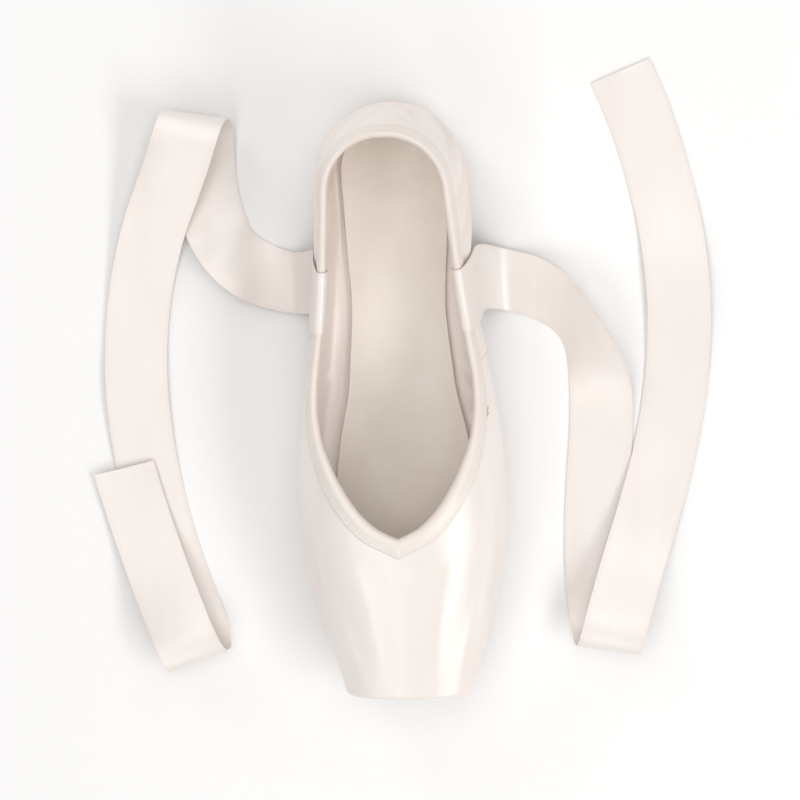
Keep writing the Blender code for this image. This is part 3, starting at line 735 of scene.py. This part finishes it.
def hem_line(run, outer_reach, inner_reach, outer_offset, top_offset, inner_offset, arc_steps=10):
    """A line over the collar: up the outside, round the edge and down the inside, at the given distances."""
    edge, angle, _, away = hem_frame(run)
    corner = last_points(run, angle, wall_at(run))
    outward = unit(edge - corner)
    half_wall = np.linalg.norm(edge - corner) / 2
    arc = []
    for turn in np.arange(arc_steps + 1) * math.pi / arc_steps:
        gap = half_wall + mix(outer_offset[-1], top_offset, math.sin(turn))
        arc.append((edge + corner) / 2 + gap * (outward * math.cos(turn) - away * math.sin(turn)))
    outside = last_points(*below_collar(run, outer_reach), -outer_offset)
    inside = last_points(*below_collar(run, inner_reach), wall_at(run) + inner_offset)
    return np.concatenate([outside, arc, inside])


def mitre_relief(x, share):
    """Height over the tape at the point of the V, where the left end lies over the right one on a slant, and the
    crease that gets painted shade.
    """
    line = mix(-0.0002, 0.0011, share)
    ledge = 0.00026 * ease((line - x) / 0.0003 + 0.5) * (1 - ease(-x / 0.007))
    crease = hump(x - line - 0.0001, 0.00026)
    return ledge - 0.00018 * crease, crease


def mitred(points, runs, near, rows=16):
    """Rows near the point of the V, carried on to the middle plane or cut off there, and spaced evenly."""
    ends = np.empty((rows, *points.shape[1:]))
    for j in range(points.shape[1]):
        line = points[:near, j]
        way = line[6] - line[0]
        if line[0, 0] > 0:
            line = np.concatenate([[line[0] - way * line[0, 0] / way[0]], line])
        else:
            k = int(np.argmax(line[:, 0] > 0))
            share = line[k, 0] / (line[k, 0] - line[k - 1, 0])
            line = np.concatenate([[mix(line[k], line[k - 1], share)], line[k:]])
        ends[:, j] = evenly(line, line.T, rows).T
    near_runs = np.linspace(VAMP_LENGTH, runs[near - 1], rows)
    return np.concatenate([ends, points[near:]]), np.concatenate([near_runs, runs[near:]])


def build_binding(materials):
    """Bias tape over the collar: flat on the satin, rolled over its edge, mitred at the point of the V."""
    near = VAMP_LENGTH + np.concatenate([[0.00001], np.linspace(0.00008, 0.0024, 30)])
    runs = np.concatenate([near, np.arange(VAMP_LENGTH + 0.0032, RUN_END - 0.0012, 0.0015), [RUN_END]])
    shares = np.array([1.0, 0.985, 0.95, 0.90, 0.83, 0.74, 0.64, 0.52, 0.4, 0.28, 0.15])
    reach = BINDING_WIDTH * shares
    rim = np.sin(np.clip((1 - shares) / 0.12, 0, 1) * math.pi / 2)
    roll = ease((0.55 - shares) / 0.5)
    sewn = hump(shares - 0.80, 0.06)
    inner_offset = 0.00022 + 0.00030 * rim[::-1]
    lines = []
    for run in runs:
        pucker = 1 + 0.16 * math.sin(run / MM * 1.9) + 0.10 * math.sin(run / MM * 3.7 + 1)
        offset = 0.00016 + 0.00026 * rim + (0.00034 * roll - 0.00022 * sewn) * pucker
        lines.append(hem_line(run, reach, reach[::-1], offset, offset[-1], inner_offset))
    points, runs = mitred(np.array(lines), runs, len(near))
    points[[0, -1], :, 0] = 0.0
    across = lengths_up(points)
    visible = np.clip(across / 0.0075, 0, 1)
    inside = 1 - ease((across - 0.0045) / 0.0015)
    near_point = ease((VAMP_LENGTH + 0.006 - runs) / 0.003)[:, None]
    normals = grid_normals(points)
    normals[0, :, 0] = 0.0
    uv = np.stack(np.broadcast_arrays(runs[:, None], across), axis=2)
    # Warmer over the roll and inside; a thin dark line along the tape's lower edge is painted shadow, and a line
    # along the stitching is painted shade
    tone = 0.55 * ease((across - BINDING_WIDTH) / 0.0016) + 1.25 * hump(across, 0.0004)
    tone += 0.45 * hump(across - 0.0011, 0.0005)
    halves = []
    for side in (1, -1):
        relief, crease = mitre_relief(points[..., 0] * side, 1 - visible)
        shown = points + normals * (relief * inside * near_point)[..., None]
        # Painted shade along the crease where one end of the tape lies over the other
        shade = tone + 1.2 * crease * inside * near_point
        shown[[0, -1], :, 0] = 0.0
        halves.append(half_piece("collar_binding", side, shown, uv, shade))
    obj = join("collar_binding", halves)
    edit_mesh(obj, bpy.ops.mesh.remove_doubles, threshold=TOUCHING)
    apply_modifier(obj, "SOLIDIFY", thickness=TAPE_THICKNESS, offset=1.0)
    smooth(obj, 50)
    finish_piece(obj, materials, "binding")


def outsole_inset(station):
    """The outsole is narrower than the flat it lies on, most of all from the waist back."""
    return mix(OUTSOLE_FOREFOOT_INSET, OUTSOLE_HEEL_INSET, ease((station / BODY_LENGTH - 0.36) / 0.26))


def sock_inset(station):
    return SOCK_MARGIN


def insole_height(station):
    return sole_rise(station) + SOLE_TOP + wall_at(station) + GAP


def plate_edge(inset_at, toe_end, overrun=0.0):
    """Right half of a sole-like outline, closer at its round ends, with the way inward at each point."""
    heel = flat_half_width(BODY_LENGTH) - inset_at(BODY_LENGTH)
    shares = np.array([0.004, 0.02, 0.045, 0.08, 0.125, 0.18, 0.25, 0.33, 0.42, 0.52, 0.63, 0.75, 0.88])
    sides = np.arange(toe_end + ROUND_END_LENGTH, BODY_LENGTH, 0.0022)
    stations = np.concatenate([toe_end + ROUND_END_LENGTH * shares, sides])
    halves = outline_half_width(stations, inset_at(stations), toe_end)
    turns = np.radians([0, 6, 12, 18, 24, 30, 36, 42, 48, 54, 60, 66, 72, 77, 81, 85, 88])
    stations = np.concatenate([stations, BODY_LENGTH + heel * np.sin(turns)])
    halves = np.concatenate([halves, heel * np.cos(turns)])
    last = stations[-1] + halves[-1] * overrun
    edge = np.concatenate([[[0, toe_end]], np.stack([halves, stations], axis=1), [[0, last]]])
    way = unit(np.gradient(edge, axis=0))
    way[0], way[-1] = (1, 0), (-1, 0)
    return edge, np.stack([-way[:, 1], way[:, 0]], axis=1)


def build_plate(name, inset_at, toe_end, height, thickness, channel, materials, slot, node_name, rise=0.0):
    """A sole-like plate: rings that follow its outline in to the middle, with a thickness and a rounded rim."""
    edge, inward = plate_edge(inset_at, toe_end, 0.2)
    steps = np.array([0, 0.2, 0.5, 0.9, 1.5, 2.2, 2.8, 3.1, 3.35, 3.6, 3.85, 4.1, 4.4, 5, 6.2, 8, 10]) * MM
    rings = edge[:, None] + inward[:, None] * steps[None, :, None]
    rings[..., 0] = np.maximum(rings[..., 0], 0)
    middle = rings[:, -1:].copy()
    middle[..., 0] = 0
    rings = np.concatenate([rings, mix(rings[:, -1:], middle, 0.5), middle], axis=1)
    x, station = rings[..., 0], rings[..., 1]
    z = height(np.clip(station, 0, BODY_LENGTH)) + rise * (x / 0.03) ** 2
    from_edge = np.append(steps, [0.012, 0.014])[None, :] + 0 * x
    z = z + channel * hump(from_edge - STITCH_INSET, CHANNEL_WIDTH)
    points = np.stack([x, station - SHOE_LENGTH / 2, z], axis=2)
    tone = hump(from_edge, 0.0010) + 0.22 * hump(from_edge - STITCH_INSET, 0.0008)
    halves = []
    for side in (1, -1):
        uv = np.stack([points[..., 1], side * points[..., 0]], axis=2)
        halves.append(half_piece(name, side, points, uv, tone, way=-1))
    obj = join(name, halves)
    edit_mesh(obj, bpy.ops.mesh.remove_doubles, threshold=TOUCHING)
    delete_centre_faces(obj)
    edit_mesh(obj, bpy.ops.mesh.dissolve_degenerate, threshold=TOUCHING)
    apply_modifier(obj, "SOLIDIFY", thickness=thickness, offset=-1.0)
    apply_modifier(obj, "BEVEL", width=0.0004, segments=3, limit_method="ANGLE", angle_limit=math.radians(60))
    smooth(obj, 45)
    finish_piece(obj, materials, node_name)


def stitch_rows(name, pairs, radius, materials, flatten=0.7):
    """One rounded stitch, modelled once and copied between each pair of points with its normal."""
    clear_selection()
    bpy.ops.mesh.primitive_uv_sphere_add(segments=8, ring_count=6, radius=1.0)
    one = bpy.context.object
    shape = np.array([v.co[:] for v in one.data.vertices])
    faces = [tuple(f.vertices) for f in one.data.polygons]
    body = np.sign(shape[:, 2]) * np.abs(shape[:, 2]) ** 0.7
    places, all_faces = [], []
    for first, last, normal in pairs:
        length = np.linalg.norm(last - first)
        along = (last - first) / length
        across = unit(np.cross(normal, along))
        out = np.cross(along, across)
        at = (first + last) / 2 + body[:, None] * along * (length / 2 + radius * 0.5)
        at = at + shape[:, :1] * across * radius + shape[:, 1:2] * out * radius * flatten
        at = at - np.outer(np.abs(body) ** 3, out) * radius * 0.7
        start = len(places) * len(shape)
        all_faces += [tuple(v + start for v in face) for face in faces]
        places.append(at)
    mesh = bpy.data.meshes.new(name)
    mesh.from_pydata(np.concatenate(places).tolist(), [], all_faces)
    mesh.update()
    old = one.data
    one.data = mesh
    bpy.data.meshes.remove(old)
    one.name = name
    edit_mesh(one, bpy.ops.mesh.normals_make_consistent, inside=False)
    smooth(one, 80)
    finish_piece(one, materials)


def surface_place(side, run, angle, lift):
    """A point over the upper, and the normal there."""
    step = 0.0003
    point = last_points(run, angle, -lift)
    along = last_points(run + step, angle) - last_points(run - step, angle)
    up = last_points(run, angle + 0.5) - last_points(run, angle - 0.5)
    return mirror(point, side), mirror(unit(np.cross(along, up)), side)


def stitch(side, first, last, lifts, start=0.0, end=1.0):
    """The ends of a stitch between two (run, angle) places over the upper, and the normal there."""
    (p, normal), (q, _) = surface_place(side, *first, lifts[0]), surface_place(side, *last, lifts[1])
    return mix(p, q, start), mix(p, q, end), normal


def seam_line(offset, count):
    """(run, angle) places up the side seam, evenly spaced."""
    run = SEAM_PLACE + offset
    low, high = run + seam_shift(run), run - seam_shift(run)
    runs, angles = spread((low, SIDE_START), (high, collar_angle(high) - 14), count)
    return list(zip(runs, angles))


def tape_line(deep, pitch):
    """(run, angle) places along the tape, that far below the collar's edge and a pitch apart."""
    places = []
    for run in np.arange(VAMP_LENGTH + 0.0001, RUN_END, 0.0003):
        places.append(below_collar(run, deep))
    runs, angles = np.array(places).T
    points = last_points(runs, angles)
    clear = points[:, 0] > 0.0009
    points, runs, angles = points[clear], runs[clear], angles[clear]
    along = lengths_along(points)
    want = np.arange(0, along[-1], pitch)
    return list(zip(np.interp(want, along, runs), np.interp(want, along, angles)))


def build_tape_stitches(materials, tack_materials):
    """The row of machine stitches that holds the tape, and two slack tacks of pink thread on the right."""
    row = tape_line(BINDING_WIDTH - 0.0010, TAPE_PITCH)
    lifts = (0.00062, 0.00062)
    pairs = [stitch(side, *ends, lifts, 0.08, 0.82) for side in (1, -1) for ends in zip(row[:-1], row[1:])]
    tacks = []
    upper_row, lower_row = tape_line(BINDING_WIDTH - 0.0002, 0.0008), tape_line(BINDING_WIDTH + 0.0023, 0.0008)
    for place in (0.1145, 0.1163):
        first = min(upper_row, key=lambda spot: abs(spot[0] - place))
        last = min(lower_row, key=lambda spot: abs(spot[0] - place - 0.0016))
        tacks.append(stitch(1, first, last, (0.0008, 0.0002)))
    stitch_rows("tape_stitches", pairs, 0.00019, materials)
    stitch_rows("tape_tacks", tacks, 0.00027, tack_materials)


def build_seam_stitches(materials):
    """Two rows of zigzag behind the seam, and a straight row close to it."""
    pairs = []
    for side in (1, -1):
        for near, far in ((0.0012, 0.0032), (0.0046, 0.0066)):
            rows = seam_line(near, ZIGZAGS), seam_line(far, ZIGZAGS)
            lift = seam_height((near + far) / 2) + 0.0001
            for i in range(ZIGZAGS):
                pairs.append(stitch(side, rows[i % 2][i], rows[1 - i % 2][i + 1], (lift, lift)))
        row = seam_line(-0.0002, SEAM_STITCHES)
        pairs += [stitch(side, *ends, (0.00058, 0.00058), 0.12, 0.82) for ends in zip(row[:-1], row[1:])]
    stitch_rows("seam_stitches", pairs, 0.00026, materials)


def sole_edge_path(inset, count):
    """Evenly spaced points on the outsole's underside, in from its edge: right side from toe to heel."""
    edge, inward = plate_edge(outsole_inset, OUTSOLE_SETBACK)
    inner = edge + inward * inset
    x, station = evenly(inner, inner.T, count + 1)
    z = sole_rise(np.minimum(station, BODY_LENGTH))
    return np.stack([np.maximum(x, 0), station - SHOE_LENGTH / 2, z], axis=1)


def build_sole_stitches(thread_materials, hole_shade_materials):
    """Thread lies on the sole round its toe and heel, and draws into its holes along the sides; the holes are
    near-black discs of painted shade.
    """
    path = sole_edge_path(STITCH_INSET, SOLE_STITCHES) + [0, 0, 0.00024]
    down = np.array([0.0, 0.0, -1.0])
    full, thin, holes = [], [], []
    for side in (1, -1):
        for p, q in zip(mirror(path[:-1], side), mirror(path[1:], side)):
            station = p[1] + SHOE_LENGTH / 2
            if station < 0.066 or station > 0.202:
                full.append((mix(p, q, 0.13), mix(p, q, 0.84), down))
            else:
                thin.append((mix(p, q, 0.16), mix(p, q, 0.80), down))
            half = unit(q - p) * 0.0003
            holes.append((p - half, p + half, down))
    stitch_rows("sole_stitches", full, 0.00042, thread_materials, 0.5)
    stitch_rows("sole_side_stitches", thin, 0.00018, thread_materials, 0.5)
    # Painted shade: near-black discs where the thread draws into the sole
    stitch_rows("sole_holes", holes, 0.00052, hole_shade_materials, 0.12)


def smooth_route(route, per_step):
    """Rows of the route joined by a smooth curve: centres with their heights, and directions across."""
    rows = np.array(route, float)
    padded = np.concatenate([2 * rows[:1] - rows[1:2], rows, 2 * rows[-1:] - rows[-2:-1]])
    out = []
    for i in range(1, len(padded) - 2):
        a, b, c, d = padded[i - 1 : i + 3]
        for k in range(per_step):
            t = k / per_step
            bend = (2 * a - 5 * b + 4 * c - d) * t * t + (3 * b - a - 3 * c + d) * t**3
            out.append(0.5 * (2 * b + (c - a) * t + bend))
    out.append(padded[-2])
    return np.array(out)


def falling(rows, landed, count=13):
    """Rows of the ribbon's fall: each thread leaves the quarter along it and lands along the floor."""
    start, end = rows[-1], landed[0]
    reach = np.linalg.norm(end - start, axis=1, keepdims=True)
    leave = unit(start - rows[-2]) * reach * 1.25
    land = unit(landed[2] - landed[0]) * reach
    return np.array([hermite(start, leave, end, land, t) for t in np.linspace(0, 1, count + 2)[1:-1]])


def ribbon_grid(route, side, columns=12):
    """Rows across a ribbon: sewn inside the quarter, over the binding, down outside and along its way."""
    inner_reach = np.array([0.002, 0.0038, 0.0055, 0.0075, 0.01, 0.0125, 0.015, 0.0175, 0.02])
    over = RIBBON_OVER_TAPE
    close = mix(over, RIBBON_OFF_LINING, ease((inner_reach - 0.0035) / 0.005))
    outer_reach = np.array([0.019, 0.0165, 0.014, 0.0115, 0.009, 0.0068, 0.0045, 0.002])
    steady = np.full(len(outer_reach), over)
    lines = []
    for i in range(columns + 1):
        run = RIBBON_PLACE + RIBBON_WIDTH * (i / columns - 0.5)
        lines.append(hem_line(run, outer_reach, inner_reach, steady, over, close)[::-1])
    rows = np.stack(lines, axis=1)
    rows[..., 0] *= side
    if side < 0:
        rows = rows[:, ::-1]
    along = smooth_route(route, 4)
    plan, lean = np.radians(along[:, 3]), np.radians(along[:, 4])
    across = np.stack([np.cos(plan) * np.cos(lean), np.sin(plan) * np.cos(lean), np.sin(lean)], axis=1)
    centre = along[:, :3] * MM
    half_rise = RIBBON_WIDTH / 2 * np.abs(np.sin(lean))
    centre[:, 2] = np.maximum(centre[:, 2], 0.00005) + RIBBON_THICKNESS / 2 + half_rise
    shares = np.linspace(-0.5, 0.5, columns + 1)
    tail = centre[:, None, :] + across[:, None, :] * (RIBBON_WIDTH * shares)[None, :, None]
    cup = np.minimum(0.0007, np.maximum(centre[:, 2] - RIBBON_THICKNESS / 2, 0))
    wave = np.sin(np.arange(len(centre)) * 0.31 + side)
    tail[..., 2] += (cup * (0.5 + 0.5 * wave))[:, None] * (1 - (2 * shares) ** 2)[None, :]
    return np.concatenate([rows, falling(rows, tail), tail])


def build_ribbon(name, route, side, material, node_name):
    points = ribbon_grid(route, side)
    along = lengths_along(points[:, points.shape[1] // 2])
    across = np.linspace(-0.5, 0.5, points.shape[1]) * RIBBON_WIDTH
    uv = np.stack(np.meshgrid(along, across, indexing="ij"), axis=2)
    tone = 0.15 + 0.6 * ease((np.abs(uv[..., 1]) - 0.0108) / 0.0008)
    obj = grid_piece(name, points, uv, tone)
    apply_modifier(obj, "SOLIDIFY", thickness=RIBBON_THICKNESS, offset=0.0)
    smooth(obj, 60)
    finish_piece(obj, [material], node_name)


def build_ribbon_stitches(materials):
    """A square of small stitches that holds each ribbon's end to the lining."""
    pairs = []
    near, far, wide = 0.0085, 0.0185, RIBBON_WIDTH / 2 - 0.002
    corners = [(-wide, near), (wide, near), (wide, far), (-wide, far)]
    lift = RIBBON_OFF_LINING + RIBBON_THICKNESS / 2 + 0.0001
    for side in (1, -1):
        for a, b in zip(corners, corners[1:] + corners[:1]):
            count = max(3, int(math.hypot(b[0] - a[0], b[1] - a[1]) / 0.0021))
            for i in range(count):
                ends = []
                for t in ((i + 0.15) / count, (i + 0.8) / count):
                    run = RIBBON_PLACE + mix(a[0], b[0], t)
                    end = last_points(*below_collar(run, mix(a[1], b[1], t)), wall_at(run) + lift)
                    ends.append(mirror(end, side))
                pairs.append((*ends, np.array([-side, 0.0, 0.0])))
    stitch_rows("ribbon_stitches", pairs, 0.00022, materials)


# Studio


def aim(obj, place, target, up):
    back = (Vector(place) - Vector(target)).normalized()
    right = Vector(up).cross(back).normalized()
    turn = Matrix((right, back.cross(right), back)).transposed()
    obj.matrix_world = Matrix.Translation(place) @ turn.to_4x4()


def soft_box(name, place, target, size, power, colour=(1, 1, 1)):
    data = bpy.data.lights.new(name, "AREA")
    data.shape = "RECTANGLE"
    data.size, data.size_y = size
    data.energy = power
    data.color = colour
    lamp = bpy.data.objects.new(name, data)
    bpy.context.scene.collection.objects.link(lamp)
    aim(lamp, place, target, (0, 1, 0))


def build_studio():
    scene = bpy.context.scene
    clear_selection()
    bpy.ops.mesh.primitive_plane_add(size=16, location=(0, 0, -0.0001))
    floor = bpy.context.object
    floor.name = "studio_floor"
    floor.data.materials.append(floor_paper())
    world = bpy.data.worlds.new("studio")
    scene.world = world
    world.use_nodes = True
    sky = world.node_tree.nodes["Background"].inputs
    sky["Color"].default_value = (1, 0.995, 0.99, 1)
    sky["Strength"].default_value = 0.38
    soft_box("right_strip", (0.74, -0.50, 0.75), (0.01, -0.03, 0.03), (0.30, 1.2), 5.7)
    soft_box("left_strip", (-0.50, -0.50, 0.95), (0, -0.03, 0.03), (0.24, 1.1), 1.95, (1, 0.98, 0.96))
    soft_box("front_box", (-0.15, -1.25, 1.25), (0, -0.05, 0.03), (0.5, 0.8), 2.0)
    soft_box("over_box", (0.05, 0.55, 1.7), (0, 0, 0), (1.5, 1.2), 10.0)
    soft_box("heel_box", (0.35, 1.25, 0.75), (0, 0.09, 0.04), (0.5, 0.8), 1.5)
    soft_box("quarter_box", (-0.70, 1.05, 0.50), (0, 0.07, 0.03), (0.6, 0.5), 2.9)
    data = bpy.data.cameras.new("photo_view")
    data.lens = 200
    data.sensor_width = 36
    data.clip_end = 20
    camera = bpy.data.objects.new("photo_view", data)
    scene.collection.objects.link(camera)
    target = Vector((0, 0, 0.02))
    back = Vector((0.087, 0.20, 0.97)).normalized()
    roll = math.radians(2.2)
    aim(camera, target + back * 1.75, target, (math.sin(roll), math.cos(roll), 0))
    scene.camera = camera
    scene.view_settings.view_transform = "Standard"
    scene.view_settings.look = "None"


def main():
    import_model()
    outer_satin = satin("upper_satin", (0.885, 0.855, 0.83, 1), (0.85, 0.758, 0.7, 1), (26, 330, 1), 0.40)
    tape_satin = satin("binding_satin", (0.845, 0.795, 0.745, 1), (0.8, 0.7, 0.64, 1), (170, 170, 1), 0.50, 0.3)
    ribbon_satin = satin("ribbon_satin", (0.875, 0.83, 0.795, 1), (0.835, 0.75, 0.7, 1), (40, 700, 1), 0.36)
    lining = cotton("lining_cotton", (0.92, 0.86, 0.80, 1), (0.86, 0.78, 0.71, 1))
    sock = cotton("sock_cotton", (0.93, 0.865, 0.80, 1), (0.86, 0.78, 0.70, 1), 520)
    leather = suede("sole_suede")
    pale_thread = thread("pale_thread", (0.93, 0.90, 0.87, 1))
    sole_thread = thread("sole_thread", (0.88, 0.80, 0.70, 1), 0.6)
    pink_thread = thread("pink_thread", (0.86, 0.56, 0.49, 1))
    # Near-black thread material, used as painted shade in the needle holes
    painted_hole_shade = thread("needle_hole_shade", (0.05, 0.025, 0.015, 1), 0.9)
    build_upper([outer_satin, lining])
    build_binding([tape_satin])
    outline = (outsole_inset, OUTSOLE_SETBACK, sole_rise, OUTSOLE_THICKNESS)
    build_plate("leather_outsole", *outline, CHANNEL_DEPTH, [leather], "leather", "outsole")
    outline = (sock_inset, SOCK_TOE_END, insole_height, INSOLE_THICKNESS)
    build_plate("inner_sock", *outline, 0.0, [sock], "lining", "insole", SOCK_CUP)
    build_tape_stitches([pale_thread], [pink_thread])
    build_seam_stitches([pale_thread])
    build_sole_stitches([sole_thread], [painted_hole_shade])
    build_ribbon("right_ribbon", RIGHT_ROUTE, 1, ribbon_satin, "ribbon_right")
    build_ribbon("left_ribbon", LEFT_ROUTE, -1, ribbon_satin, "ribbon_left")
    build_ribbon_stitches([pale_thread])
    build_studio()


main()
